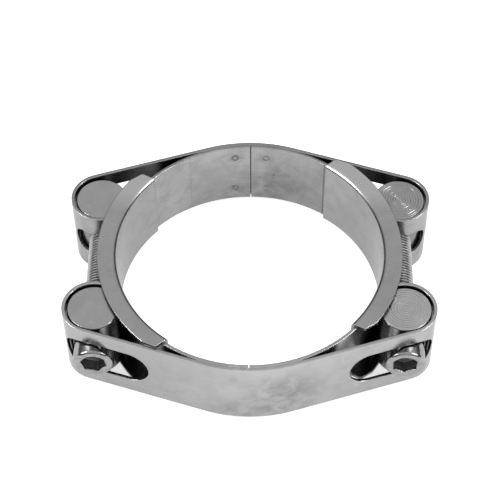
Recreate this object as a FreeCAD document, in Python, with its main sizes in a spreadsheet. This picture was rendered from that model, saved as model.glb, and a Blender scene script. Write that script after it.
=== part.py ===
import FreeCAD, Part
import os
from math import radians

import Sketcher
from FreeCAD import Placement, Rotation, Vector

# Double bolt hose clamp, lying flat, closed on the smallest hose it fits.
# The hose axis is Z through the origin, half way up the band. The bolt heads face -Y.

# Driving sizes, in millimetres and degrees
SIZES = {
    "hose_diameter": 200.0,         # the hose at rest
    "band_width": 61.0,
    "band_thickness": 2.4,
    "layer_gap": 0.15,              # between the outer run and the strand under it
    "seam_gap": 0.8,                # between the two butting ends of a half band
    "bridge_thickness": 2.4,
    "bridge_clearance": 0.3,        # between a bridge and the band, behind, above and below it
    "bridge_angle": 96.5,           # that a bridge spans round the hose axis
    "bridge_turn": 6.0,             # how far the bridges have crept round from the bolt line
    "bridge_bend": 1.0,             # inner radius of the bend between wall and flange
    "flange_reach": 11.9,           # from the bridge's wall to its flange's edge
    "flange_end_reach": 8.6,        # the same at the clipped ends
    "flange_end_lean": 2.4,         # how far a clipped end leans back at its outer corner
    "flange_clip_length": 17.0,     # from the end to where the clip would run out of the flange
    "flange_corner_radius": 1.5,
    "trunnion_diameter": 38.6,
    "trunnion_inset": 1.9,          # from the band's edge down to the trunnion's face
    "trunnion_chamfer": 0.8,
    "trunnion_seat_gap": 0.95,      # between the trunnion and the side of the loop that it pulls on
    "loop_clearance": 1.26,         # between trunnion and loop, if the trunnion were centred
    "loop_angle": 24.35,            # from the bolt line to the middle of a loop, about the hose axis
    "outer_slot_height": 33.0,
    "outer_slot_length": 67.0,      # along the strip
    "facing_slot_height": 25.0,
    "facing_slot_angle": 62.0,      # round the loop, from the bolt to each end of the slot
    "bolt_diameter": 20.0,
    "bolt_length": 150.0,           # under the head
    "bolt_end_chamfer": 1.6,
    "head_diameter": 30.0,
    "head_height": 20.0,
    "head_rim_radius": 1.5,
    "head_foot_chamfer": 0.6,
    "socket_flats": 17.0,
    "socket_depth": 10.0,
    "socket_countersink": 0.5,      # how far the countersink passes the socket's corners
    "left_bolt_turn": -15.0,        # where each bolt came to rest, about its own axis
    "right_bolt_turn": 0.0,
    "seat_height": 11.0,            # from the trunnion's axis out to the seat of the bolt's head
    "seat_clearance": 0.5,          # round the bolt's head
    "bore_clearance": 0.5,          # round the bolt in a front trunnion
    "thread_clearance": 0.05,       # round the bolt in a tapped back trunnion
    "tapped_countersink": 1.2,
    "weld_diameter": 6.0,
    "weld_ring_width": 1.0,
    "weld_ring_depth": 0.25,
    "weld_offset": 12.4,            # from the seam, along the strip
    "weld_height": 18.4,            # above and below the middle of the band
    "cut_margin": 2.0,              # how far a cut runs on past the metal
}

# Sizes that follow from them
HOSE_RADIUS = "(sizes.hose_diameter / 2)"
WALL_OUTSIDE = f"({HOSE_RADIUS} + sizes.bridge_thickness)"
CHANNEL_HALF = "(sizes.band_width / 2 + sizes.bridge_clearance)"
CHANNEL_OUTSIDE = f"({CHANNEL_HALF} + sizes.bridge_thickness)"
FLANGE_EDGE = f"({WALL_OUTSIDE} + sizes.flange_reach)"
FLANGE_END = f"({WALL_OUTSIDE} + sizes.flange_end_reach)"
STRAND_INSIDE = f"({WALL_OUTSIDE} + sizes.bridge_clearance)"
STRAND_OUTSIDE = f"({STRAND_INSIDE} + sizes.band_thickness)"
RUN_INSIDE = f"({STRAND_OUTSIDE} + sizes.layer_gap)"
RUN_OUTSIDE = f"({RUN_INSIDE} + sizes.band_thickness)"
TRUNNION_RADIUS = "(sizes.trunnion_diameter / 2)"
LOOP_INSIDE = f"({TRUNNION_RADIUS} + sizes.loop_clearance)"
LOOP_OUTSIDE = f"({LOOP_INSIDE} + sizes.band_thickness)"
LOOP_DISTANCE = f"({STRAND_INSIDE} + {LOOP_OUTSIDE})"
LOOP_X = f"({LOOP_DISTANCE} * cos(sizes.loop_angle))"
LOOP_Y = f"({LOOP_DISTANCE} * sin(sizes.loop_angle))"
LOOP_ANGLE = "(sizes.loop_angle * 1 deg)"
RUN_ANGLE = f"({LOOP_ANGLE} + acos(({RUN_OUTSIDE} - {LOOP_OUTSIDE}) / {LOOP_DISTANCE}))"
TRUNNION_Y = f"({LOOP_Y} - sizes.loop_clearance + sizes.trunnion_seat_gap)"
TRUNNION_LENGTH = "(sizes.band_width - 2 * sizes.trunnion_inset)"
BOLT_RADIUS = "(sizes.bolt_diameter / 2)"
HEAD_RADIUS = "(sizes.head_diameter / 2)"
SEAT_Y = f"(-{TRUNNION_Y} - sizes.seat_height)"
SOCKET_CORNER = "(sizes.socket_flats / sqrt(3))"
WELD_ANGLE = f"(90 deg - atan(sizes.weld_offset / {STRAND_INSIDE}))"

# Sketcher's own numbers for the axes of a sketch and the ends and centre of a curve
X_AXIS, Y_AXIS = range(-1, -3, -1)
START, END, CENTRE = range(1, 4)
ORIGIN = (X_AXIS, START)
UP = Vector(0, 0, 1)
HALF_TURN = Rotation(UP, 180)

doc = FreeCAD.newDocument("DoubleBoltHoseClamp")
sheet = doc.addObject("Spreadsheet::Sheet", "sizes")
for row, (size_name, size) in enumerate(SIZES.items(), start=1):
    sheet.set(f"A{row}", size_name)
    sheet.set(f"B{row}", str(size))
    sheet.setAlias(f"B{row}", size_name)
doc.recompute()


def number(formula):
    """The value of a formula now, in millimetres or degrees."""
    found = sheet.evalExpression(formula)
    return float(getattr(found, "Value", found))


def at(x_formula, y_formula):
    return Vector(number(x_formula), number(y_formula), 0)


def polar(radius, angle, centre=Vector()):
    """The point that lies at an angle in degrees on a circle."""
    return centre + Rotation(UP, angle).multVec(Vector(radius, 0, 0))


def volume(body):
    return 0.0 if body.Shape.isNull() else body.Shape.Volume


def new_body(label):
    body = doc.addObject("PartDesign::Body", label)
    body.Label = label
    return body


def origin_plane(body, role):
    return next(plane for plane in body.Origin.OriginFeatures if plane.Role == role)


def new_sketch(body, name, role):
    sketch = body.newObject("Sketcher::SketchObject", name)
    sketch.AttachmentSupport = (origin_plane(body, role), [""])
    sketch.MapMode = "FlatFace"
    return sketch


def shift_sketch(sketch, turn=None, axis=UP, **shift):
    """Turns a sketch about an axis of its plane and shifts it, by formulas."""
    if turn:
        sketch.AttachmentOffset = Placement(Vector(), Rotation(axis, number(turn)))
        sketch.setExpression("AttachmentOffset.Rotation.Angle", turn)
    for side, formula in shift.items():
        sketch.setExpression(f"AttachmentOffset.Base.{side}", formula)


def line(sketch, start, end):
    return sketch.addGeometry(Part.LineSegment(start, end))


def arc(sketch, radius, first, last, centre=Vector()):
    circle = Part.Circle(centre, UP, radius)
    return sketch.addGeometry(Part.ArcOfCircle(circle, radians(first), radians(last)))


def tie(sketch, kind, *where):
    sketch.addConstraint(Sketcher.Constraint(kind, *where))


def measure(sketch, formula, kind, *where):
    """A sketch dimension, drawn at its size now and bound to its formula."""
    index = sketch.addConstraint(Sketcher.Constraint(kind, *where, number(formula)))
    sketch.setExpression(f"Constraints[{index}]", formula)


def closed_outline(sketch, points):
    """Straight lines through points that are given as pairs of formulas, zero as None."""
    corners = [at(x or "0", y or "0") for x, y in points]
    sides = [line(sketch, a, b) for a, b in zip(corners, corners[1:] + corners[:1])]
    for side, following in zip(sides, sides[1:] + sides[:1]):
        tie(sketch, "Coincident", side, END, following, START)
    for side, (x, y) in zip(sides, points):
        if x:
            measure(sketch, x, "DistanceX", *ORIGIN, side, START)
        else:
            tie(sketch, "PointOnObject", side, START, Y_AXIS)
        if y:
            measure(sketch, y, "DistanceY", *ORIGIN, side, START)
        else:
            tie(sketch, "PointOnObject", side, START, X_AXIS)


def circle_at(sketch, radius, x=None, y=None):
    """A circle by formulas for its radius and its centre, zero as None."""
    ring = sketch.addGeometry(Part.Circle(at(x or "0", y or "0"), UP, number(radius)))
    measure(sketch, radius, "Radius", ring)
    if x:
        measure(sketch, x, "DistanceX", *ORIGIN, ring, CENTRE)
    else:
        tie(sketch, "PointOnObject", ring, CENTRE, Y_AXIS)
    if y:
        measure(sketch, y, "DistanceY", *ORIGIN, ring, CENTRE)
    else:
        tie(sketch, "PointOnObject", ring, CENTRE, X_AXIS)


def new_feature(body, kind, name, sketch, **settings):
    """A feature on a sketch. A size that is given as text is a formula."""
    before = volume(body)
    feature = body.newObject(f"PartDesign::{kind}", name)
    feature.Profile = sketch
    for key, setting in settings.items():
        if isinstance(setting, str) and key in ("Length", "Angle"):
            feature.setExpression(key, setting)
        else:
            setattr(feature, key, setting)
    doc.recompute()
    removes = kind in ("Pocket", "Groove")
    gained = volume(body) - before
    if gained == 0 or removes != (gained < 0):
        raise ValueError(f"{name} left the volume of {body.Label} as it was")
    return feature


def mirror(body, name, role, originals=None):
    """Mirrors some features, or the whole body, in an origin plane."""
    feature = body.newObject("PartDesign::Mirrored", name)
    feature.MirrorPlane = (origin_plane(body, role), [""])
    if originals:
        feature.Originals = originals
    else:
        feature.TransformMode = "Whole shape"
    body.Tip = feature
    doc.recompute()
    return feature


def dress(body, kind, name, size_alias, is_edge):
    """A fillet or chamfer on each edge of the body that passes the test."""
    base = body.Tip
    names = [f"Edge{number}" for number, edge in enumerate(base.Shape.Edges, start=1) if is_edge(edge)]
    feature = body.newObject(f"PartDesign::{kind}", name)
    feature.Base = (base, names)
    feature.setExpression("Radius" if kind == "Fillet" else "Size", f"sizes.{size_alias}")
    doc.recompute()
    return feature


def strip_outline(sketch):
    """Half of a half band, seen along the hose axis: one strip from the middle of its outer
    run, down the straight run, round the loop and back along the hose to the seam."""
    loop = at(LOOP_X, LOOP_Y)
    loop_start = number(LOOP_ANGLE) - 180
    leave = number(RUN_ANGLE)
    half_seam = "(sizes.seam_gap / 2)"

    def seam_angle(radius):
        return number(f"acos({half_seam} / {radius})")

    outer_run = arc(sketch, number(RUN_OUTSIDE), leave, 90)
    outer_line = line(sketch, polar(number(RUN_OUTSIDE), leave), polar(number(LOOP_OUTSIDE), leave, loop))
    outer_loop = arc(sketch, number(LOOP_OUTSIDE), loop_start, leave, loop)
    hose_side = arc(sketch, number(STRAND_INSIDE), number(LOOP_ANGLE), seam_angle(STRAND_INSIDE))
    seam = line(sketch, polar(number(STRAND_INSIDE), seam_angle(STRAND_INSIDE)),
                polar(number(STRAND_OUTSIDE), seam_angle(STRAND_OUTSIDE)))
    strand_back = arc(sketch, number(STRAND_OUTSIDE), number(LOOP_ANGLE), seam_angle(STRAND_OUTSIDE))
    inner_loop = arc(sketch, number(LOOP_INSIDE), loop_start, leave, loop)
    inner_line = line(sketch, polar(number(LOOP_INSIDE), leave, loop), polar(number(RUN_INSIDE), leave))
    inner_run = arc(sketch, number(RUN_INSIDE), leave, 90)
    middle = line(sketch, polar(number(RUN_INSIDE), 90), polar(number(RUN_OUTSIDE), 90))

    tie(sketch, "Tangent", outer_run, START, outer_line, START)
    tie(sketch, "Tangent", outer_line, END, outer_loop, END)
    tie(sketch, "Tangent", outer_loop, START, hose_side, START)
    tie(sketch, "Coincident", hose_side, END, seam, START)
    tie(sketch, "Coincident", seam, END, strand_back, END)
    tie(sketch, "Tangent", strand_back, START, inner_loop, START)
    tie(sketch, "Tangent", inner_loop, END, inner_line, START)
    tie(sketch, "Tangent", inner_line, END, inner_run, START)
    tie(sketch, "Coincident", inner_run, END, middle, START)
    tie(sketch, "Coincident", middle, END, outer_run, END)
    for curve, radius in ((outer_run, RUN_OUTSIDE), (hose_side, STRAND_INSIDE),
                          (strand_back, STRAND_OUTSIDE), (inner_run, RUN_INSIDE)):
        tie(sketch, "Coincident", curve, CENTRE, *ORIGIN)
        measure(sketch, radius, "Radius", curve)
    tie(sketch, "Coincident", inner_loop, CENTRE, outer_loop, CENTRE)
    measure(sketch, LOOP_OUTSIDE, "Radius", outer_loop)
    measure(sketch, LOOP_Y, "DistanceY", *ORIGIN, outer_loop, CENTRE)
    tie(sketch, "Vertical", seam)
    measure(sketch, half_seam, "DistanceX", *ORIGIN, seam, START)
    tie(sketch, "Vertical", middle)
    tie(sketch, "PointOnObject", middle, START, Y_AXIS)


def loop_sketch(body, name, angle, out="0"):
    """A sketch on a plane that faces out of the right loop at an angle, its own x along the
    strip and its y up, and that stands a distance out from the loop's axis."""
    sketch = new_sketch(body, name, "YZ_Plane")
    shift_sketch(sketch, angle, Vector(0, 1, 0),
                 x=f"{LOOP_Y} + {out} * sin({angle})", z=f"{LOOP_X} + {out} * cos({angle})")
    return sketch


def cut_facing_slot(body):
    """The slot in the side of the loop that faces the other half band. Its ends were punched
    round in the flat strip, so they are cut square to the bent wall."""
    radius = "(sizes.facing_slot_height / 2)"
    end_turn = f"(sizes.facing_slot_angle * 1 deg - asin({radius} / {LOOP_OUTSIDE}))"
    clear = f"({LOOP_OUTSIDE} + sizes.cut_margin)"
    profile = new_sketch(body, "facing_slot_profile", "YZ_Plane")
    shift_sketch(profile, x=LOOP_Y, z=LOOP_X)
    shallow = f"(-{LOOP_INSIDE} + sizes.cut_margin)"
    deep = f"(-{clear})"
    closed_outline(profile, [(deep, f"-{radius}"), (shallow, f"-{radius}"), (shallow, radius), (deep, radius)])
    new_feature(body, "Groove", "facing_slot", profile, ReferenceAxis=(profile, ["V_Axis"]),
                Midplane=True, Angle=f"2 * {end_turn}")
    for side, sign in (("hose_side", "-"), ("outer_side", "+")):
        end = loop_sketch(body, f"facing_slot_{side}_circle", f"(-90 deg {sign} {end_turn})")
        circle_at(end, radius)
        new_feature(body, "Pocket", f"facing_slot_{side}", end, Reversed=True, Length=clear)


def cut_outer_slot(body):
    """The longer slot that lets the bolt's head through, from the loop into the straight run."""
    radius = "(sizes.outer_slot_height / 2)"
    straight = "(sizes.outer_slot_length - sizes.outer_slot_height)"
    end = loop_sketch(body, "outer_slot_loop_circle", RUN_ANGLE)
    circle_at(end, radius)
    new_feature(body, "Pocket", "outer_slot_loop", end, Reversed=True,
                Length=f"{LOOP_OUTSIDE} + sizes.cut_margin")

    run = loop_sketch(body, "outer_slot_run_outline", RUN_ANGLE, out=f"({LOOP_INSIDE} - sizes.band_thickness / 2)")
    far = at(straight, "0")
    reach = number(radius)
    lower = line(run, Vector(0, -reach, 0), far + Vector(0, -reach, 0))
    nose = arc(run, reach, -90, 90, far)
    upper = line(run, far + Vector(0, reach, 0), Vector(0, reach, 0))
    back = line(run, Vector(0, reach, 0), Vector(0, -reach, 0))
    tie(run, "Tangent", lower, END, nose, START)
    tie(run, "Tangent", nose, END, upper, START)
    tie(run, "Coincident", upper, END, back, START)
    tie(run, "Coincident", back, END, lower, START)
    tie(run, "Horizontal", lower)
    tie(run, "Vertical", back)
    tie(run, "PointOnObject", back, START, Y_AXIS)
    tie(run, "PointOnObject", nose, CENTRE, X_AXIS)
    measure(run, radius, "Radius", nose)
    measure(run, straight, "DistanceX", *ORIGIN, nose, CENTRE)
    new_feature(body, "Pocket", "outer_slot_run", run, Reversed=True,
                Length="2 * sizes.band_thickness + sizes.cut_margin")


def add_spot_welds(body):
    """A nugget that joins the two layers, above and below the middle, with the ring that the
    electrode left on the hose side of each."""
    middle = f"({STRAND_INSIDE} + sizes.band_thickness / 2)"
    nuggets = new_sketch(body, "nugget_circles", "YZ_Plane")
    shift_sketch(nuggets, WELD_ANGLE, Vector(0, 1, 0),
                 x=f"{middle} * sin({WELD_ANGLE})", z=f"{middle} * cos({WELD_ANGLE})")
    inside = f"({STRAND_INSIDE} - sizes.cut_margin)"
    rings = new_sketch(body, "electrode_circles", "YZ_Plane")
    shift_sketch(rings, WELD_ANGLE, Vector(0, 1, 0),
                 x=f"{inside} * sin({WELD_ANGLE})", z=f"{inside} * cos({WELD_ANGLE})")
    for height in ("sizes.weld_height", "(-sizes.weld_height)"):
        circle_at(nuggets, "(sizes.weld_diameter / 2)", y=height)
        circle_at(rings, "(sizes.weld_diameter / 2)", y=height)
        circle_at(rings, "(sizes.weld_diameter / 2 - sizes.weld_ring_width)", y=height)
    new_feature(body, "Pad", "nuggets", nuggets, Length="sizes.band_thickness + sizes.layer_gap")
    new_feature(body, "Pocket", "electrode_rings", rings, Reversed=True,
                Length="sizes.cut_margin + sizes.weld_ring_depth")


def half_band(label, turned=False):
    """A half band behind the hose, or turned round to the front."""
    body = new_body(label)
    outline = new_sketch(body, "strip_outline", "XY_Plane")
    strip_outline(outline)
    new_feature(body, "Pad", "strip", outline, SideType="Symmetric", Length="sizes.band_width")
    cut_facing_slot(body)
    cut_outer_slot(body)
    add_spot_welds(body)
    mirror(body, "both_sides", "YZ_Plane")
    if turned:
        body.Placement = Placement(Vector(), HALF_TURN)


def channel_outline(sketch):
    """The bridge's section: a wall against the hose and a flange over each edge of the band."""
    inside, outside = number(HOSE_RADIUS), number(WALL_OUTSIDE)
    under, over = number(CHANNEL_HALF), number(CHANNEL_OUTSIDE)
    edge = number(FLANGE_EDGE)
    bend = number("sizes.bridge_bend")
    big = bend + outside - inside
    hose_side = line(sketch, Vector(inside, big - over, 0), Vector(inside, over - big, 0))
    band_side = line(sketch, Vector(outside, under - bend, 0), Vector(outside, bend - under, 0))
    tie(sketch, "Vertical", hose_side)
    tie(sketch, "Vertical", band_side)
    measure(sketch, HOSE_RADIUS, "DistanceX", *ORIGIN, hose_side, START)
    measure(sketch, WALL_OUTSIDE, "DistanceX", *ORIGIN, band_side, START)
    for side, hose_end, band_end in ((1, END, START), (-1, START, END)):
        centre = Vector(outside + bend, side * (under - bend), 0)
        turn = (90, 180) if side == 1 else (180, 270)
        wall_end, flange_end = (END, START) if side == 1 else (START, END)
        outer_bend = arc(sketch, big, *turn, centre)
        inner_bend = arc(sketch, bend, *turn, centre)
        face = line(sketch, Vector(centre.x, side * over, 0), Vector(edge, side * over, 0))
        rim = line(sketch, Vector(edge, side * over, 0), Vector(edge, side * under, 0))
        seat = line(sketch, Vector(edge, side * under, 0), Vector(centre.x, side * under, 0))
        tie(sketch, "Tangent", hose_side, hose_end, outer_bend, wall_end)
        tie(sketch, "Tangent", outer_bend, flange_end, face, START)
        tie(sketch, "Coincident", face, END, rim, START)
        tie(sketch, "Coincident", rim, END, seat, START)
        tie(sketch, "Tangent", seat, END, inner_bend, flange_end)
        tie(sketch, "Tangent", inner_bend, wall_end, band_side, band_end)
        tie(sketch, "Coincident", inner_bend, CENTRE, outer_bend, CENTRE)
        tie(sketch, "Horizontal", face)
        tie(sketch, "Horizontal", seat)
        tie(sketch, "Vertical", rim)
        measure(sketch, "sizes.bridge_bend", "Radius", inner_bend)
        measure(sketch, FLANGE_EDGE, "DistanceX", *ORIGIN, rim, END)
        height = CHANNEL_HALF if side == 1 else f"(-{CHANNEL_HALF})"
        measure(sketch, height, "DistanceY", *ORIGIN, rim, END)


def bridge(label, turned=False):
    """The channel that closes the right gap between the half bands and slides round inside
    them, or turned round to the left gap."""
    body = new_body(label)
    section = new_sketch(body, "channel_outline", "XZ_Plane")
    channel_outline(section)
    new_feature(body, "Revolution", "channel", section, ReferenceAxis=(section, ["V_Axis"]),
                Midplane=True, Angle="sizes.bridge_angle * 1 deg")

    clip = new_sketch(body, "flange_clip_outline", "XY_Plane")
    shift_sketch(clip, "(sizes.bridge_angle / 2 * 1 deg)")
    beyond = f"({FLANGE_EDGE} + sizes.cut_margin)"
    closed_outline(clip, [(WALL_OUTSIDE, None), (FLANGE_END, "(-sizes.flange_end_lean)"),
                          (FLANGE_EDGE, "(-sizes.flange_clip_length)"), (beyond, "(-sizes.flange_clip_length)"),
                          (beyond, "sizes.cut_margin"), (WALL_OUTSIDE, "sizes.cut_margin")])
    clipped = new_feature(body, "Pocket", "flange_clip", clip, SideType="Symmetric",
                          Length=f"2 * {CHANNEL_OUTSIDE} + sizes.cut_margin")
    mirror(body, "both_ends", "XZ_Plane", [clipped])

    corner = Vector(number(FLANGE_END), -number("sizes.flange_end_lean"), 0)
    corner = Rotation(UP, number("sizes.bridge_angle") / 2).multVec(corner)

    def is_flange_corner(edge):
        middle = edge.CenterOfMass
        near = Vector(middle.x, abs(middle.y), 0).distanceToPoint(corner)
        return near < number("sizes.bridge_clearance") and edge.BoundBox.ZLength > edge.BoundBox.XLength

    dress(body, "Fillet", "flange_corners", "flange_corner_radius", is_flange_corner)
    crept = Rotation(UP, number("sizes.bridge_turn"))
    body.Placement = Placement(Vector(), crept * HALF_TURN if turned else crept)


def trunnion(label, side, bore_outline):
    """A round bar across the band, with a hole for the bolt. Side gives its signs of X and Y."""
    body = new_body(label)
    section = new_sketch(body, "bar_circle", "XY_Plane")
    circle_at(section, TRUNNION_RADIUS)
    new_feature(body, "Pad", "bar", section, SideType="Symmetric", Length=TRUNNION_LENGTH)
    dress(body, "Chamfer", "rims", "trunnion_chamfer", lambda edge: isinstance(edge.Curve, Part.Circle))
    bore = new_sketch(body, "bore_outline", "XY_Plane")
    closed_outline(bore, bore_outline)
    new_feature(body, "Groove", "bore", bore, ReferenceAxis=(bore, ["V_Axis"]), Angle="360 deg")
    x_side, y_side = side
    body.Placement = Placement(Vector(x_side * number(LOOP_X), y_side * number(TRUNNION_Y), 0), Rotation())


def plain_bore():
    """Half the section of a clearance hole with a spot face for the head, which faces -Y."""
    seat = f"({HEAD_RADIUS} + sizes.seat_clearance)"
    hole = f"({BOLT_RADIUS} + sizes.bore_clearance)"
    out = f"({TRUNNION_RADIUS} + sizes.cut_margin)"
    return [(None, f"-{out}"), (seat, f"-{out}"), (seat, "(-sizes.seat_height)"),
            (hole, "(-sizes.seat_height)"), (hole, out), (None, out)]


def tapped_bore():
    """Half the section of a hole right through, countersunk at both mouths."""
    hole = f"({BOLT_RADIUS} + sizes.thread_clearance)"
    out = f"({TRUNNION_RADIUS} + sizes.cut_margin)"
    mouth = f"({TRUNNION_RADIUS} - sizes.tapped_countersink)"
    wide = f"({hole} + sizes.tapped_countersink + sizes.cut_margin)"
    return [(None, f"-{out}"), (wide, f"-{out}"), (hole, f"-{mouth}"), (hole, mouth), (wide, out), (None, out)]


def bolt_outline(sketch):
    """Half the section of the screw along its axis, with its seat on the x axis."""
    head, shank = number(HEAD_RADIUS), number(BOLT_RADIUS)
    top = -number("sizes.head_height")
    end = number("sizes.bolt_length")
    rim_radius = number("sizes.head_rim_radius")
    foot = number("sizes.head_foot_chamfer")
    tip = number("sizes.bolt_end_chamfer")
    points = [Vector(head, top + rim_radius, 0), Vector(head, -foot, 0), Vector(head - foot, 0, 0),
              Vector(shank, 0, 0), Vector(shank, end - tip, 0), Vector(shank - tip, end, 0),
              Vector(0, end, 0), Vector(0, top, 0), Vector(head - rim_radius, top, 0)]
    side, foot_cone, seat, thread, tip_cone, tip_face, axis, face = [
        line(sketch, a, b) for a, b in zip(points, points[1:])]
    rim = arc(sketch, rim_radius, -90, 0, Vector(head - rim_radius, top + rim_radius, 0))
    chain = (side, foot_cone, seat, thread, tip_cone, tip_face, axis, face)
    for first, following in zip(chain, chain[1:]):
        tie(sketch, "Coincident", first, END, following, START)
    tie(sketch, "Tangent", face, END, rim, START)
    tie(sketch, "Tangent", rim, END, side, START)
    for upright in (side, thread, axis):
        tie(sketch, "Vertical", upright)
    for level in (seat, tip_face, face):
        tie(sketch, "Horizontal", level)
    tie(sketch, "PointOnObject", axis, START, Y_AXIS)
    tie(sketch, "PointOnObject", seat, START, X_AXIS)
    measure(sketch, HEAD_RADIUS, "DistanceX", *ORIGIN, side, START)
    measure(sketch, "sizes.head_rim_radius", "Radius", rim)
    measure(sketch, "(-sizes.head_height)", "DistanceY", *ORIGIN, face, START)
    measure(sketch, "sizes.head_foot_chamfer", "DistanceX", foot_cone, END, foot_cone, START)
    measure(sketch, "sizes.head_foot_chamfer", "DistanceY", foot_cone, START, foot_cone, END)
    measure(sketch, BOLT_RADIUS, "DistanceX", *ORIGIN, thread, START)
    measure(sketch, "sizes.bolt_length", "DistanceY", *ORIGIN, tip_face, START)
    measure(sketch, "sizes.bolt_end_chamfer", "DistanceX", tip_cone, END, tip_cone, START)
    measure(sketch, "sizes.bolt_end_chamfer", "DistanceY", tip_cone, START, tip_cone, END)


def hexagon(sketch):
    """The socket's outline, with a corner at the top and a flat at each side."""
    corners = [polar(number(SOCKET_CORNER), 30 + 60 * step) for step in range(6)]
    sides = [line(sketch, a, b) for a, b in zip(corners, corners[1:] + corners[:1])]
    round_corners = sketch.addGeometry(Part.Circle(Vector(), UP, number(SOCKET_CORNER)), True)
    tie(sketch, "Coincident", round_corners, CENTRE, *ORIGIN)
    for side, following in zip(sides, sides[1:] + sides[:1]):
        tie(sketch, "Coincident", side, END, following, START)
        tie(sketch, "PointOnObject", side, START, round_corners)
    for side in sides[1:]:
        tie(sketch, "Equal", sides[0], side)
    tie(sketch, "Vertical", sides[5])
    measure(sketch, "(sizes.socket_flats / 2)", "DistanceX", *ORIGIN, sides[5], START)


def bolt(label, x_side, turn_alias):
    """A socket head cap screw, threaded up to its head. The fine thread is left plain."""
    body = new_body(label)
    section = new_sketch(body, "bolt_outline", "XY_Plane")
    bolt_outline(section)
    new_feature(body, "Revolution", "blank", section, ReferenceAxis=(section, ["V_Axis"]), Angle="360 deg")

    socket = new_sketch(body, "socket_hexagon", "XZ_Plane")
    shift_sketch(socket, z="sizes.head_height")
    hexagon(socket)
    new_feature(body, "Pocket", "socket", socket, Length="sizes.socket_depth")

    cone = new_sketch(body, "socket_countersink_outline", "XY_Plane")
    mouth = f"({SOCKET_CORNER} + sizes.socket_countersink)"
    closed_outline(cone, [(None, "(-sizes.head_height)"), (mouth, "(-sizes.head_height)"),
                          (None, f"({mouth} * tan(30) - sizes.head_height)")])
    new_feature(body, "Groove", "socket_countersink", cone, ReferenceAxis=(cone, ["V_Axis"]), Angle="360 deg")
    body.Placement = Placement(Vector(x_side * number(LOOP_X), number(SEAT_Y), 0),
                               Rotation(Vector(0, 1, 0), number(f"sizes.{turn_alias}")))


def write_parts():
    """Checks the whole document, then writes each sub-part to a file named after it."""
    doc.recompute()
    for item in doc.Objects:
        if "Invalid" in item.State or "Error" in item.State:
            raise ValueError(f"{item.Label} is {item.State}")
    os.makedirs("parts", exist_ok=True)
    for body in doc.findObjects("PartDesign::Body"):
        shape = body.Shape
        if shape.isNull() or not shape.isValid() or len(shape.Solids) != 1:
            raise ValueError(f"{body.Label} isn't one valid solid")
        shape.exportStep(os.path.join("parts", f"{body.Label}.step"))
        box = shape.BoundBox
        print(f"{body.Label}: {shape.Volume:.0f} mm3, {box.XMin:.2f} to {box.XMax:.2f}, "
              f"{box.YMin:.2f} to {box.YMax:.2f}, {box.ZMin:.2f} to {box.ZMax:.2f}")


half_band("back_band")
half_band("front_band", turned=True)
bridge("right_bridge")
bridge("left_bridge", turned=True)
for side_name, x_sign in (("left", -1), ("right", 1)):
    trunnion(f"front_{side_name}_trunnion", (x_sign, -1), plain_bore())
    trunnion(f"back_{side_name}_trunnion", (x_sign, 1), tapped_bore())
    bolt(f"{side_name}_bolt", x_sign, f"{side_name}_bolt_turn")
write_parts()
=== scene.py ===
from math import cos, pi, radians, sin, sqrt, tan

import bmesh
import bpy
from mathutils import Matrix, Vector


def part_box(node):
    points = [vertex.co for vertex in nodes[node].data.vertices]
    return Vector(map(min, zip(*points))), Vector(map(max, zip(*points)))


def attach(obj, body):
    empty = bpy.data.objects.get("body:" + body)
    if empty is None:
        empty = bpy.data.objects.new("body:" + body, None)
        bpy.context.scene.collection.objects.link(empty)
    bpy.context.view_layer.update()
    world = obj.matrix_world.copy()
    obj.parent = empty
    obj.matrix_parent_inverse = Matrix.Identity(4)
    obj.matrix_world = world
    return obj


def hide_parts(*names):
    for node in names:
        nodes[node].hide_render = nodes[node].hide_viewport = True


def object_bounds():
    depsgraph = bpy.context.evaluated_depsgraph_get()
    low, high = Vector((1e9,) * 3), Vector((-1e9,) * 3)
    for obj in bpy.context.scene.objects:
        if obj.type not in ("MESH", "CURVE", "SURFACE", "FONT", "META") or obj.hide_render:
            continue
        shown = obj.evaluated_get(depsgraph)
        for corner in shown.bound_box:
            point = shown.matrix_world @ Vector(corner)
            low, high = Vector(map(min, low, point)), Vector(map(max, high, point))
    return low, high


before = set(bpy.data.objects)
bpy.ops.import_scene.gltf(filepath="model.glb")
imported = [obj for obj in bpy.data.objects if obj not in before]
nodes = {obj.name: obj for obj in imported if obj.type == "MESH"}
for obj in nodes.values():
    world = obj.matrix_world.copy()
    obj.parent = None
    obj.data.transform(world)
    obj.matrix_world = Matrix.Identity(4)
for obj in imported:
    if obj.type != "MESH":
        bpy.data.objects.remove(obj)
cad_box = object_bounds()

# Places that the looks are drawn round, in metres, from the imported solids
FLOOR_Z = cad_box[0].z
TRUNNIONS = {
    f"{end}_{side}_trunnion": sum(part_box(f"{end}_{side}_trunnion"), Vector()) / 2
    for end in ("front", "back") for side in ("left", "right")
}
BOLT_AXES = {side: TRUNNIONS[f"front_{side}_trunnion"].x for side in ("left", "right")}
HEAD_FACE_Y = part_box("left_bolt")[0].y
BOLT_END_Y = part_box("left_bolt")[1].y

# Sizes of the screws, M20 by 150 with 2.5 mm pitch
HEAD_RADIUS = 0.0150
HEAD_HEIGHT = 0.0200
HEAD_RIM = 0.0024
HEAD_FOOT = 0.0006
HEAD_STEPS = 96
RIM_STEPS = 8
SOCKET_FLATS = 0.0170
SOCKET_DEPTH = 0.0100
SOCKET_CORNER = SOCKET_FLATS / sqrt(3)
SOCKET_MOUTH = SOCKET_CORNER + 0.0005
SOCKET_CONE = radians(30)
SOCKET_FLOOR_SHARE = 0.4
SOCKET_FLOOR_DROP = 0.0012
THREAD_PITCH = 0.0025
THREAD_CREST = 0.00996
THREAD_ROOT = 0.00850
THREAD_STEPS = 48
THREAD_OVERLAP = 0.0005
TIP_RADIUS = 0.0084
SHARP_TURN = radians(32)
BOLT_TURNS = {"left": radians(-15), "right": 0.0}
HEAD_SEAT_Y = HEAD_FACE_Y + HEAD_HEIGHT

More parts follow.
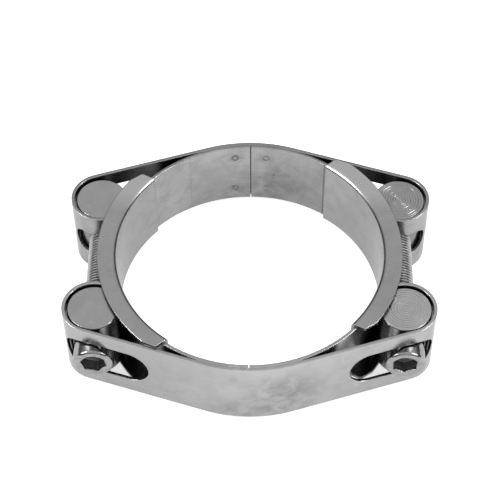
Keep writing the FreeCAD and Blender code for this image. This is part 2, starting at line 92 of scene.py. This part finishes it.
# Marks on a half band, some of them painted shade. Places on its hose side are angles round the hose axis and
# heights.
# Each stain, partly oil and partly painted shade, has an inner and an outer radius and a share, and each weld
# a share.
# The pairs of radii say where a mark is full and where it ends, and the shares how strong it is.
INSIDE_RADIUS = 0.1027
STAINS_AND_SHADE = ((radians(93), -0.036, 0.010, 0.040, 0.45),
          (radians(76), -0.006, 0.010, 0.036, 0.62),
          (radians(35), 0.0, 0.015, 0.050, 0.35))
WELDS = ((radians(96.88), 0.0184, 1.0), (radians(96.88), -0.0184, 1.1),
         (radians(83.12), 0.0184, 0.45), (radians(83.12), -0.0184, 0.35))
WELD_HALO = (0.0022, 0.0080)
HALO_SHARE = 0.45
WELD_RING = (0.0028, 0.0034)
WELD_HOLE = (0.0015, 0.0020)
RING_SHARE = 0.9
PIT = (radians(79.7), -0.0008)
PIT_RADII = (0.0005, 0.0013)
PIT_SHARE = 0.9
# Faint dark upright lines of painted shade, where the strip's bend changes
SHADE_LINES = (radians(117.6), radians(68.4))
SHADE_LINE_RADII = (0.0002, 0.0008)
SHADE_LINE_SHARE = 0.16
# Painted shadow line on the hose side just past a bridge's end
BRIDGE_EDGE = radians(55.8)
BRIDGE_EDGE_RADII = (0.0002, 0.0010)
BRIDGE_EDGE_SHARE = 0.8
# A patch of painted shade at one end of the outer run
SHADE_PATCH = (0.075, 0.098)
SHADE_PATCH_RADII = (0.020, 0.090)
SHADE_PATCH_SHARE = 0.32

# Distances from the middle plane at which an edge or a face begins and is fully reached
# The first pair says where the painted crevice shade fades out towards the rims
RIM_SHADE_FADE = (0.0258, 0.0288)
TRUNNION_FACE = (0.0278, 0.0284)
BAND_EDGE = (0.0302, 0.0304)
FLANGE = (0.0304, 0.0310)

# Along y, where the painted highlight on the back end of a bridge begins and is fully reached
BACK_END = (0.035, 0.055)

# Turned trunnion ends: the distance from one tool mark to the next, where its two flanks
# lie as shares of that distance, half a flank's width, how far the flanks lean, and the tone
TOOL_STEP = 0.0020
FLANKS = (0.44, 0.56)
HALF_FLANK = 0.06
GROOVES = {"front_left_trunnion": 0.06, "front_right_trunnion": 0.45,
           "back_left_trunnion": 0.04, "back_right_trunnion": 0.72}
FACE_TONES = {"front_left_trunnion": 0.30, "front_right_trunnion": 0.36,
              "back_left_trunnion": 0.30, "back_right_trunnion": 0.30}

# Tones that zinc takes on where it is dirty, oily, dull or worn, the first three also used as painted shade, a
# lighter tone used as a painted highlight, and its tint at grazing angles
DIRT_AND_SHADE = (0.05, 0.05, 0.05, 1)
OIL_AND_SHADE = (0.10, 0.10, 0.10, 1)
DULL_AND_SHADE = (0.16, 0.16, 0.16, 1)
PAINTED_HIGHLIGHT = (0.37, 0.367, 0.368, 1)
WORN = (0.62, 0.62, 0.62, 1)
GRAZING_TINT = (0.75, 0.75, 0.75, 1)

# The table, and the room's shades from the horizon (0) to straight overhead (1)
FLOOR_REACH = 6
FLOOR_TONE = (0.66, 0.66, 0.66, 1)
FLOOR_GLOW = 0.66
ROOM_SHADES = ((0.0, 0.10), (0.25, 0.14), (0.50, 0.50), (0.70, 0.82), (0.80, 0.78), (1.0, 1.0))
ROOM_STRENGTH = 1.3


def node_tree(name):
    """A new material and its empty node tree."""
    material = bpy.data.materials.new(name)
    material.use_nodes = True
    tree = material.node_tree
    tree.nodes.clear()
    return material, tree


class Graph:
    """Adds nodes to a tree. A socket may be given as another node's output or as a value."""

    def __init__(self, tree):
        self.tree = tree

    def node(self, kind, settings=None, **sockets):
        made = self.tree.nodes.new(f"ShaderNode{kind}")
        for key, value in (settings or {}).items():
            setattr(made, key, value)
        for key, value in sockets.items():
            self.plug(made.inputs[key.replace("_", " ")], value)
        return made

    def plug(self, socket, value):
        if isinstance(value, bpy.types.NodeSocket):
            self.tree.links.new(value, socket)
        else:
            socket.default_value = value

    def math(self, operation, *values):
        made = self.tree.nodes.new("ShaderNodeMath")
        made.operation = operation
        for socket, value in zip(made.inputs, values):
            self.plug(socket, value)
        return made.outputs[0]

    def place(self):
        return self.node("TexCoord").outputs["Object"]

    def stretched(self, vector, scale, shift=(0, 0, 0)):
        made = self.node("Mapping", Vector=vector)
        made.inputs["Location"].default_value = shift
        made.inputs["Scale"].default_value = scale
        return made.outputs[0]

    def noise(self, vector, scale, detail, roughness, distortion=0.0):
        made = self.node("TexNoise", Vector=vector, Scale=scale, Detail=detail,
                         Roughness=roughness, Distortion=distortion)
        return made.outputs["Fac"]

    def remap(self, value, low, high, to_low, to_high):
        made = self.node("MapRange", {"clamp": True})
        for socket, given in zip(made.inputs, (value, low, high, to_low, to_high)):
            self.plug(socket, given)
        return made.outputs[0]

    def ramp(self, value, *stops):
        made = self.node("ValToRGB", Fac=value)
        elements = made.color_ramp.elements
        while len(elements) < len(stops):
            elements.new(0.5)
        for element, (position, shade) in zip(elements, stops):
            element.position = position
            element.color = (*shade, 1.0)
        return made.outputs["Color"]

    def mix(self, factor, first, second, blend="MIX"):
        made = self.tree.nodes.new("ShaderNodeMix")
        made.data_type = "RGBA"
        made.blend_type = blend
        self.plug(made.inputs[0], factor)
        self.plug(made.inputs[6], first)
        self.plug(made.inputs[7], second)
        return made.outputs[2]

    def multiplied(self, *values):
        """The product of sockets and numbers."""
        product = values[0]
        for value in values[1:]:
            product = self.math("MULTIPLY", product, value)
        return product

    def bump(self, height, distance, strength, normal):
        return self.node("Bump", Height=height, Distance=distance, Strength=strength, Normal=normal).outputs[0]

    def near(self, vector, point, inner, outer):
        """1 inside a ball round a point, falling to 0 at its outer radius."""
        distance = self.node("VectorMath", {"operation": "DISTANCE"})
        self.plug(distance.inputs[0], vector)
        distance.inputs[1].default_value = point
        return self.remap(distance.outputs["Value"], inner, outer, 1.0, 0.0)

    def spot(self, tone, other, vector, point, radii, *shares):
        """Turns a tone towards another one round a point."""
        return self.mix(self.multiplied(self.near(vector, point, *radii), *shares), tone, other)

    def reach(self, first, second):
        """The distance from an axis, by the two coordinates across it."""
        squares = self.math("ADD", self.multiplied(first, first), self.multiplied(second, second))
        return self.math("SQRT", squares)

    def height(self):
        """The distance from the middle plane of the clamp."""
        return self.math("ABSOLUTE", self.node("SeparateXYZ", Vector=self.place()).outputs[2])

    def crevice_shade(self, tone, reach=0.020, darkest=0.07):
        """Painted shade: darkens a tone in crevices that ambient occlusion finds, and less so close to the
        rims.
        """
        shelter = self.node("AmbientOcclusion", {"samples": 6}, Distance=reach)
        shade = self.remap(shelter.outputs["AO"], 0.06, 0.50, darkest, 1.0)
        near_rim = self.remap(self.height(), *RIM_SHADE_FADE, 0.0, 0.75)
        shade = self.math("ADD", shade, self.multiplied(near_rim, self.math("SUBTRACT", 1.0, shade)))
        return self.mix(1.0, tone, shade, "MULTIPLY")

    def rounded(self, radius):
        """The normal with every edge a little rounded, as plating and handling leave it."""
        return self.node("Bevel", {"samples": 6}, Radius=radius).outputs[0]

    def worn(self, tone, rounded_normal):
        """Lightens a tone along edges, where handling has polished the plating."""
        agreement = self.node("VectorMath", {"operation": "DOT_PRODUCT"})
        self.plug(agreement.inputs[0], rounded_normal)
        self.plug(agreement.inputs[1], self.node("NewGeometry").outputs["Normal"])
        return self.mix(self.remap(agreement.outputs["Value"], 0.975, 0.85, 0.0, 0.5), tone, WORN)

    def grooved(self, normal, x, y, reach, lean):
        """Leans a normal to and from an axis along z in turn, as the two flanks of a tool mark do."""
        phase = self.math("FRACT", self.math("DIVIDE", reach, TOOL_STEP))
        inner, outer = (self.math("COMPARE", phase, middle, HALF_FLANK) for middle in FLANKS)
        flank = self.multiplied(self.math("SUBTRACT", outer, inner), lean)
        outward = self.node("VectorMath", {"operation": "NORMALIZE"})
        self.plug(outward.inputs[0], self.node("CombineXYZ", X=x, Y=y).outputs[0])
        leaning = self.node("VectorMath", {"operation": "SCALE"})
        self.plug(leaning.inputs[0], outward.outputs[0])
        self.plug(leaning.inputs["Scale"], flank)
        joined = self.node("VectorMath", {"operation": "ADD"})
        self.plug(joined.inputs[0], normal)
        self.plug(joined.inputs[1], leaning.outputs[0])
        unit = self.node("VectorMath", {"operation": "NORMALIZE"})
        self.plug(unit.inputs[0], joined.outputs[0])
        return unit.outputs[0]

    def metal(self, material, colour, roughness, normal):
        shader = self.node("BsdfPrincipled", Base_Color=colour, Roughness=roughness, Normal=normal)
        shader.inputs["Metallic"].default_value = 1.0
        shader.inputs["Specular Tint"].default_value = GRAZING_TINT
        self.node("OutputMaterial", Surface=shader.outputs[0])
        return material


def scaled(tone, factor):
    """A tone made lighter or darker."""
    return (*[part * factor for part in tone], 1)


def zinc(name, light, dark, rough, seed, grain, marks):
    """Zinc plated steel. Cloudy tones, fine lines that run level as the strip was rolled,
    a few scuffs, and a roughness that follows both."""
    material, tree = node_tree(name)
    graph = Graph(tree)
    place = graph.place()
    moved = graph.stretched(place, (1, 1, 1), seed)
    clouds = graph.noise(moved, 22.0, 4.0, 0.55, 0.6)
    blotches = graph.noise(moved, 75.0, 3.0, 0.6, 0.3)
    lines = graph.noise(graph.stretched(moved, (14, 14, 1400)), 1.0, 3.0, 0.6)
    speckle = graph.noise(moved, 1600.0, 2.0, 0.7)
    scuffs = graph.noise(graph.stretched(moved, (60, 60, 420)), 1.0, 2.0, 0.5, 1.2)

    tone = graph.ramp(clouds, (0.30, dark), (0.70, light))
    tone = graph.mix(graph.remap(blotches, 0.45, 0.70, 0.0, 0.5), tone, scaled(dark, 0.84))
    tone = graph.mix(graph.remap(lines, 0.35, 0.75, 0.0, grain), tone, scaled(dark, 0.8))
    tone = graph.mix(graph.remap(scuffs, 0.66, 0.74, 0.0, 0.5), tone, scaled(light, 1.14))
    tone = marks(graph, place, tone)

    base = graph.remap(clouds, 0.3, 0.7, rough - 0.05, rough + 0.06)
    base = graph.math("ADD", base, graph.remap(lines, 0.3, 0.7, -0.03, 0.05))
    base = graph.math("ADD", base, graph.remap(speckle, 0.3, 0.7, -0.03, 0.03))
    height = graph.math("ADD", graph.multiplied(lines, 0.5), graph.multiplied(speckle, 0.3))
    edges = graph.rounded(0.0010)
    normal = graph.bump(clouds, 0.0006, 0.25, edges)
    normal = graph.bump(height, 0.00003, 0.5, normal)
    # Painted shade in crevices, over edges lightened by wear
    return graph.metal(material, graph.crevice_shade(graph.worn(tone, edges)), base, normal)


def wall_marks(side, edge_share):
    """Marks of a half band, side -1 for the front and 1 for the back: stains that are partly oil and partly
    painted shade, rings and halos of the spot welds, a pit, faint upright lines of painted shade and the
    painted shadow line of a bridge's end on the hose side, darker sheared edges, and a patch of painted shade
    at one end of the outer run."""
    def on_wall(angle, height=0.0):
        return INSIDE_RADIUS * cos(angle), side * INSIDE_RADIUS * sin(angle), height

    def draw(graph, place, tone):
        spread = graph.remap(graph.noise(place, 90.0, 3.0, 0.6, 0.4), 0.35, 0.6, 0.25, 1.0)
        ragged = graph.remap(graph.noise(place, 420.0, 2.0, 0.6), 0.40, 0.55, 0.35, 1.0)
        level = graph.stretched(place, (1, 1, 0))
        # Stains, partly oil and partly painted shade
        for angle, height, inner, outer, share in STAINS_AND_SHADE:
            tone = graph.spot(tone, OIL_AND_SHADE, place, on_wall(angle, height), (inner, outer), spread, share)
        for angle, height, share in WELDS:
            point = on_wall(angle, height)
            tone = graph.spot(tone, OIL_AND_SHADE, place, point, WELD_HALO, spread, HALO_SHARE * share)
            around_hole = graph.math("SUBTRACT", 1.0, graph.near(place, point, *WELD_HOLE))
            tone = graph.spot(tone, DIRT_AND_SHADE, place, point, WELD_RING, around_hole, ragged, RING_SHARE * share)
        tone = graph.spot(tone, DIRT_AND_SHADE, place, on_wall(*PIT), PIT_RADII, PIT_SHARE)
        # Faint upright lines of painted shade
        for angle in SHADE_LINES:
            tone = graph.spot(tone, DIRT_AND_SHADE, level, on_wall(angle), SHADE_LINE_RADII, spread, SHADE_LINE_SHARE)
        # Painted shadow line past the bridge's end
        tone = graph.spot(tone, DIRT_AND_SHADE, level, on_wall(BRIDGE_EDGE), BRIDGE_EDGE_RADII, BRIDGE_EDGE_SHARE)
        tone = graph.mix(graph.remap(graph.height(), *BAND_EDGE, 0.0, edge_share), tone, DULL_AND_SHADE)
        # A patch of painted shade
        shade_patch = (side * SHADE_PATCH[0], side * SHADE_PATCH[1], 0.0)
        return graph.spot(tone, DULL_AND_SHADE, place, shade_patch, SHADE_PATCH_RADII, SHADE_PATCH_SHARE)
    return draw


def back_end_highlight(graph, place, tone):
    """Paints a highlight on the flanges at the back end of a bridge, lightening their tone."""
    y = graph.node("SeparateXYZ", Vector=place).outputs[1]
    at_back = graph.remap(y, *BACK_END, 0.0, 1.0)
    on_flange = graph.remap(graph.height(), *FLANGE, 0.0, 1.0)
    return graph.mix(graph.multiplied(at_back, on_flange), tone, PAINTED_HIGHLIGHT)


def turned_face(name, centre, light, dark, rough, groove, seed):
    """A trunnion: zinc, with rings that the tool left round its axis on both ends, and sides darkened by
    painted shade.
    """
    material, tree = node_tree(name)
    graph = Graph(tree)
    place = graph.place()
    centred = graph.stretched(place, (1, 1, 1), (-centre.x, -centre.y, 0))
    x, y = graph.node("SeparateXYZ", Vector=centred).outputs[:2]
    moved = graph.stretched(place, (1, 1, 1), seed)
    clouds = graph.noise(moved, 60.0, 4.0, 0.55, 0.5)
    scuffs = graph.noise(moved, 260.0, 2.0, 0.5, 2.0)
    wobble = graph.math("ADD", graph.reach(x, y), graph.multiplied(clouds, 0.0005))
    ring_place = graph.node("CombineXYZ", X=wobble, Z=seed[0])
    uneven = graph.remap(graph.noise(ring_place.outputs[0], 700.0, 1.0, 0.5), 0.35, 0.65, 0.55, 1.0)
    on_face = graph.remap(graph.height(), *TRUNNION_FACE, 0.0, 1.0)
    lean = graph.multiplied(uneven, on_face, groove)
    tone = graph.ramp(clouds, (0.3, dark), (0.7, light))
    tone = graph.mix(graph.remap(scuffs, 0.68, 0.74, 0.0, 0.5), tone, scaled(light, 1.5))
    # Painted shade: the sides are darker than the ends
    tone = graph.mix(on_face, scaled(light, 0.65), tone)
    base = graph.remap(clouds, 0.3, 0.7, rough - 0.03, rough + 0.05)
    edges = graph.rounded(0.0006)
    normal = graph.bump(clouds, 0.0004, 0.2, edges)
    normal = graph.grooved(normal, x, y, wobble, lean)
    # Painted shade in crevices, over edges lightened by wear
    return graph.metal(material, graph.crevice_shade(graph.worn(tone, edges)), base, normal)


def screw_metal(name, axis_x, light, dark, rough, seed):
    """Zinc on a screw, with turning marks on the head's face, worn head edges, a dull socket, painted shade in
    crevices and in the thread's roots, and a painted highlight on its crests."""
    material, tree = node_tree(name)
    graph = Graph(tree)
    place = graph.place()
    moved = graph.stretched(place, (1, 1, 1), seed)
    x, y, z = graph.node("SeparateXYZ", Vector=graph.stretched(place, (1, 1, 1), (-axis_x, 0, 0))).outputs
    reach = graph.reach(x, z)
    clouds = graph.noise(moved, 260.0, 4.0, 0.6, 0.8)
    speckle = graph.noise(moved, 1400.0, 2.0, 0.7)
    tone = graph.ramp(clouds, (0.35, dark), (0.65, light))
    # Painted shade in the thread's roots and a painted highlight on its crests
    root_shade_crest_highlight = graph.remap(reach, THREAD_ROOT + 0.0005, THREAD_CREST - 0.0001, 0.36, 1.85)
    behind_head = graph.remap(y, HEAD_SEAT_Y - 0.0002, HEAD_SEAT_Y, 0.0, 1.0)
    tone = graph.mix(behind_head, tone, graph.mix(1.0, tone, root_shade_crest_highlight, "MULTIPLY"))
    base = graph.remap(clouds, 0.3, 0.7, rough - 0.05, rough + 0.07)
    turning = graph.noise(graph.node("CombineXYZ", X=reach).outputs[0], 1500.0, 2.0, 0.6)
    on_face = graph.remap(y, HEAD_FACE_Y + 0.0002, HEAD_FACE_Y + 0.0005, 1.0, 0.0)
    in_socket = graph.multiplied(graph.remap(y, HEAD_FACE_Y + 0.0010, HEAD_FACE_Y + 0.0040, 0.0, 1.0),
                                 graph.math("LESS_THAN", reach, SOCKET_MOUTH),
                                 graph.math("SUBTRACT", 1.0, behind_head))
    edges = graph.rounded(graph.remap(behind_head, 0.0, 1.0, 0.0012, 0.00005))
    tone = graph.mix(behind_head, graph.worn(tone, edges), tone)
    base = graph.math("ADD", base, graph.multiplied(in_socket, 0.32))
    base = graph.math("ADD", base, graph.multiplied(behind_head, 0.18))
    normal = graph.bump(speckle, 0.00003, 0.5, edges)
    normal = graph.bump(graph.multiplied(turning, on_face), 0.00012, 1.0, normal)
    # Painted shade in crevices
    return graph.metal(material, graph.crevice_shade(tone, 0.006, 0.45), base, normal)


def paint(obj, material):
    obj.data.materials.clear()
    obj.data.materials.append(material)


def smooth(mesh):
    """Smooth shading, except at edges that turn more than SHARP_TURN."""
    for polygon in mesh.polygons:
        polygon.use_smooth = True
    edit = bmesh.new()
    edit.from_mesh(mesh)
    for edge in edit.edges:
        edge.smooth = len(edge.link_faces) == 2 and edge.calc_face_angle(0) < SHARP_TURN
    edit.to_mesh(mesh)
    edit.free()


def ring(edit, place_at):
    """A ring of vertices about the screw's axis. place_at gives the radius and y at an angle."""
    made = []
    for i in range(HEAD_STEPS):
        angle = 2 * pi * i / HEAD_STEPS
        radius, y = place_at(angle)
        made.append(edit.verts.new((radius * cos(angle), y, radius * sin(angle))))
    return made


def join(edit, rings):
    """Faces between each ring and the next."""
    for first, second in zip(rings, rings[1:]):
        for i in range(HEAD_STEPS):
            after = (i + 1) % HEAD_STEPS
            edit.faces.new((first[i], first[after], second[after], second[i]))


def thread(edit, start, end):
    """A real helical thread: 60 degree flanks, flat crests and rounded roots."""
    depth = THREAD_CREST - THREAD_ROOT
    near_root, near_crest = THREAD_ROOT + 0.06 * depth, THREAD_CREST - 0.05 * depth
    profile = [(0.00, near_root), (0.10, THREAD_ROOT), (0.20, near_root),
               (0.50, near_crest), (0.54, THREAD_CREST), (0.66, THREAD_CREST), (0.70, near_crest)]
    turns = int((end - start) / THREAD_PITCH) + 2
    rows = []
    for step in range(turns * THREAD_STEPS + 1):
        angle = 2 * pi * step / THREAD_STEPS
        base = start - THREAD_PITCH + THREAD_PITCH * step / THREAD_STEPS
        row = []
        for share, radius in profile:
            y = min(max(base + share * THREAD_PITCH, start), end)
            reach = min(radius, TIP_RADIUS + (end - y))
            row.append(edit.verts.new((reach * sin(angle), y, reach * cos(angle))))
        rows.append(row)
    for step in range(len(rows) - 1):
        here, ahead = rows[step], rows[step + 1]
        pairs = list(zip(here, here[1:], ahead[1:], ahead))
        turn_on = step + THREAD_STEPS
        if turn_on + 1 < len(rows):
            pairs.append((here[-1], rows[turn_on][0], rows[turn_on + 1][0], ahead[-1]))
        for corners in pairs:
            edit.faces.new(corners)


def hexagon_reach(angle):
    """How far the side of the socket's hexagon, with a corner at the top, is from its middle."""
    turned = (angle + pi / 6) % (pi / 3) - pi / 6
    return SOCKET_FLATS / 2 / cos(turned)


def head(edit):
    """The screw's head: chamfered foot, rounded rim, and a hexagon socket with a cone at its mouth."""
    profile = [(THREAD_ROOT - THREAD_OVERLAP, HEAD_SEAT_Y), (HEAD_RADIUS - HEAD_FOOT, HEAD_SEAT_Y),
               (HEAD_RADIUS, HEAD_SEAT_Y - HEAD_FOOT)]
    for step in range(RIM_STEPS + 1):
        turn = pi / 2 * step / RIM_STEPS
        profile.append((HEAD_RADIUS - HEAD_RIM + HEAD_RIM * cos(turn),
                        HEAD_FACE_Y + HEAD_RIM - HEAD_RIM * sin(turn)))
    profile.append(((HEAD_RADIUS - HEAD_RIM + SOCKET_MOUTH) / 2, HEAD_FACE_Y))
    profile.append((SOCKET_MOUTH, HEAD_FACE_Y))
    rings = [ring(edit, lambda angle, point=point: point) for point in profile]

    slope = tan(SOCKET_CONE)
    wall_top = ring(edit, lambda angle: (hexagon_reach(angle),
                                         HEAD_FACE_Y + (SOCKET_MOUTH - hexagon_reach(angle)) * slope))
    wall_foot = ring(edit, lambda angle: (hexagon_reach(angle), HEAD_FACE_Y + SOCKET_DEPTH))
    socket_floor = ring(edit, lambda angle: (SOCKET_FLOOR_SHARE * hexagon_reach(angle),
                                             HEAD_FACE_Y + SOCKET_DEPTH + SOCKET_FLOOR_DROP))
    join(edit, rings + [wall_top, wall_foot, socket_floor])
    edit.faces.new(socket_floor)


def screw(side):
    """The whole screw, one piece, standing for its plain solid."""
    mesh = bpy.data.meshes.new(f"{side}_screw")
    edit = bmesh.new()
    head(edit)
    thread(edit, HEAD_SEAT_Y, BOLT_END_Y)
    edit.faces.new(ring(edit, lambda angle: (TIP_RADIUS, BOLT_END_Y)))
    bmesh.ops.remove_doubles(edit, verts=edit.verts, dist=1e-7)
    bmesh.ops.recalc_face_normals(edit, faces=edit.faces)
    turn = Matrix.Rotation(BOLT_TURNS[side], 3, "Y")
    bmesh.ops.rotate(edit, verts=edit.verts, cent=(0, 0, 0), matrix=turn)
    bmesh.ops.translate(edit, verts=edit.verts, vec=(BOLT_AXES[side], 0, 0))
    edit.to_mesh(mesh)
    edit.free()
    smooth(mesh)
    piece = bpy.data.objects.new(f"{side}_screw", mesh)
    bpy.context.scene.collection.objects.link(piece)
    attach(piece, f"{side}_bolt")
    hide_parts(f"{side}_bolt")
    return piece


def camera(elevation, yaw, roll, distance, target, lens):
    """A camera that looks at a target from an elevation above the floor."""
    back = Vector((sin(yaw) * cos(elevation), -cos(yaw) * cos(elevation), sin(elevation)))
    right = (-back).cross(Vector((0, 0, 1))).normalized()
    up = right.cross(-back)
    right, up = right * cos(roll) + up * sin(roll), up * cos(roll) - right * sin(roll)
    made = bpy.data.objects.new("camera", bpy.data.cameras.new("camera"))
    made.data.lens = lens
    made.data.sensor_width = 36
    made.data.clip_start = 0.05
    made.data.clip_end = 20
    matrix = Matrix((right, up, back)).transposed().to_4x4()
    matrix.translation = Vector(target) + back * distance
    made.matrix_world = matrix
    bpy.context.scene.collection.objects.link(made)
    bpy.context.scene.camera = made


def softbox(name, azimuth, elevation, distance, width, height, radiance):
    """A rectangular lamp that faces the clamp. Azimuth 0 is behind it and 90 on its right."""
    turn, rise = radians(azimuth), radians(elevation)
    way = Vector((cos(rise) * sin(turn), cos(rise) * cos(turn), sin(rise)))
    data = bpy.data.lights.new(name, "AREA")
    data.shape = "RECTANGLE"
    data.size = width
    data.size_y = height
    data.energy = radiance * pi * width * height
    lamp = bpy.data.objects.new(name, data)
    lamp.location = way * distance
    lamp.rotation_mode = "QUATERNION"
    lamp.rotation_quaternion = way.to_track_quat("Z", "Y")
    bpy.context.scene.collection.objects.link(lamp)


def studio():
    """A white table, a room that is dark near the horizon and pale overhead, and softboxes."""
    floor_mesh = bpy.data.meshes.new("floor")
    corners = [(x * FLOOR_REACH, y * FLOOR_REACH, FLOOR_Z) for x, y in ((-1, -1), (1, -1), (1, 1), (-1, 1))]
    floor_mesh.from_pydata(corners, [], [(0, 1, 2, 3)])
    floor = bpy.data.objects.new("floor", floor_mesh)
    bpy.context.scene.collection.objects.link(floor)
    material, tree = node_tree("floor_white")
    graph = Graph(tree)
    shader = graph.node("BsdfPrincipled")
    shader.inputs["Base Color"].default_value = FLOOR_TONE
    shader.inputs["Roughness"].default_value = 0.9
    shader.inputs["Specular IOR Level"].default_value = 0.1
    shader.inputs["Emission Color"].default_value = (1, 1, 1, 1)
    shader.inputs["Emission Strength"].default_value = FLOOR_GLOW
    graph.node("OutputMaterial", Surface=shader.outputs[0])
    paint(floor, material)

    world = bpy.data.worlds.new("room")
    bpy.context.scene.world = world
    world.use_nodes = True
    tree = world.node_tree
    tree.nodes.clear()
    graph = Graph(tree)
    way = graph.node("TexCoord").outputs["Generated"]
    height = graph.node("SeparateXYZ", Vector=way).outputs[2]
    shade = graph.ramp(height, *((at, (grey,) * 3) for at, grey in ROOM_SHADES))
    background = graph.node("Background", Color=shade)
    background.inputs["Strength"].default_value = ROOM_STRENGTH
    graph.node("OutputWorld", Surface=background.outputs[0])

    for side, sign in (("left", -1), ("right", 1)):
        softbox(f"{side}_box", azimuth=sign * 103, elevation=38, distance=1.5,
                width=0.62, height=0.76, radiance=10.0)
    softbox("front_box", azimuth=180, elevation=18, distance=2.0, width=1.6, height=0.5, radiance=0.9)


# Camera, as fitted to the photo
camera(elevation=radians(52.368), yaw=radians(0.552), roll=radians(-0.212), distance=1.2878,
       target=(-0.00007, 0.02428, 0.0), lens=119.99)

# Screws
for number, side in enumerate(("left", "right")):
    plating = screw_metal(f"{side}_screw_zinc", BOLT_AXES[side], light=(0.28, 0.28, 0.285),
                          dark=(0.20, 0.20, 0.205), rough=0.15, seed=(0.3 + number, 0.1, 0.2))
    paint(screw(side), plating)

# Bands and bridges
paint(nodes["front_band"], zinc("front_band_zinc", light=(0.362, 0.357, 0.359), dark=(0.318, 0.313, 0.315),
                                rough=0.20, seed=(1.3, 0.2, 0.7), grain=0.25, marks=wall_marks(-1, 0.0)))
paint(nodes["back_band"], zinc("back_band_zinc", light=(0.345, 0.34, 0.342), dark=(0.235, 0.232, 0.234),
                               rough=0.26, seed=(0.4, 2.2, 0.1), grain=0.12, marks=wall_marks(1, 0.45)))
for number, side in enumerate(("left", "right")):
    plating = zinc(f"{side}_bridge_zinc", light=(0.30, 0.297, 0.298), dark=(0.265, 0.262, 0.263),
                   # The back ends of the bridges' flanges get a painted highlight
                   rough=0.22, seed=(3.1 + number, 0.6, 0.4), grain=0.12, marks=back_end_highlight)
    paint(nodes[f"{side}_bridge"], plating)

# Trunnions
for number, (name, centre) in enumerate(TRUNNIONS.items()):
    tone = FACE_TONES[name]
    plating = turned_face(f"{name}_zinc", centre, light=(tone,) * 3, dark=(0.85 * tone,) * 3,
                          rough=0.22, groove=GROOVES[name], seed=(0.7 * number, 1.9, 0.3))
    paint(nodes[name], plating)

# Surroundings and picture
studio()
bpy.context.scene.view_settings.view_transform = "Standard"
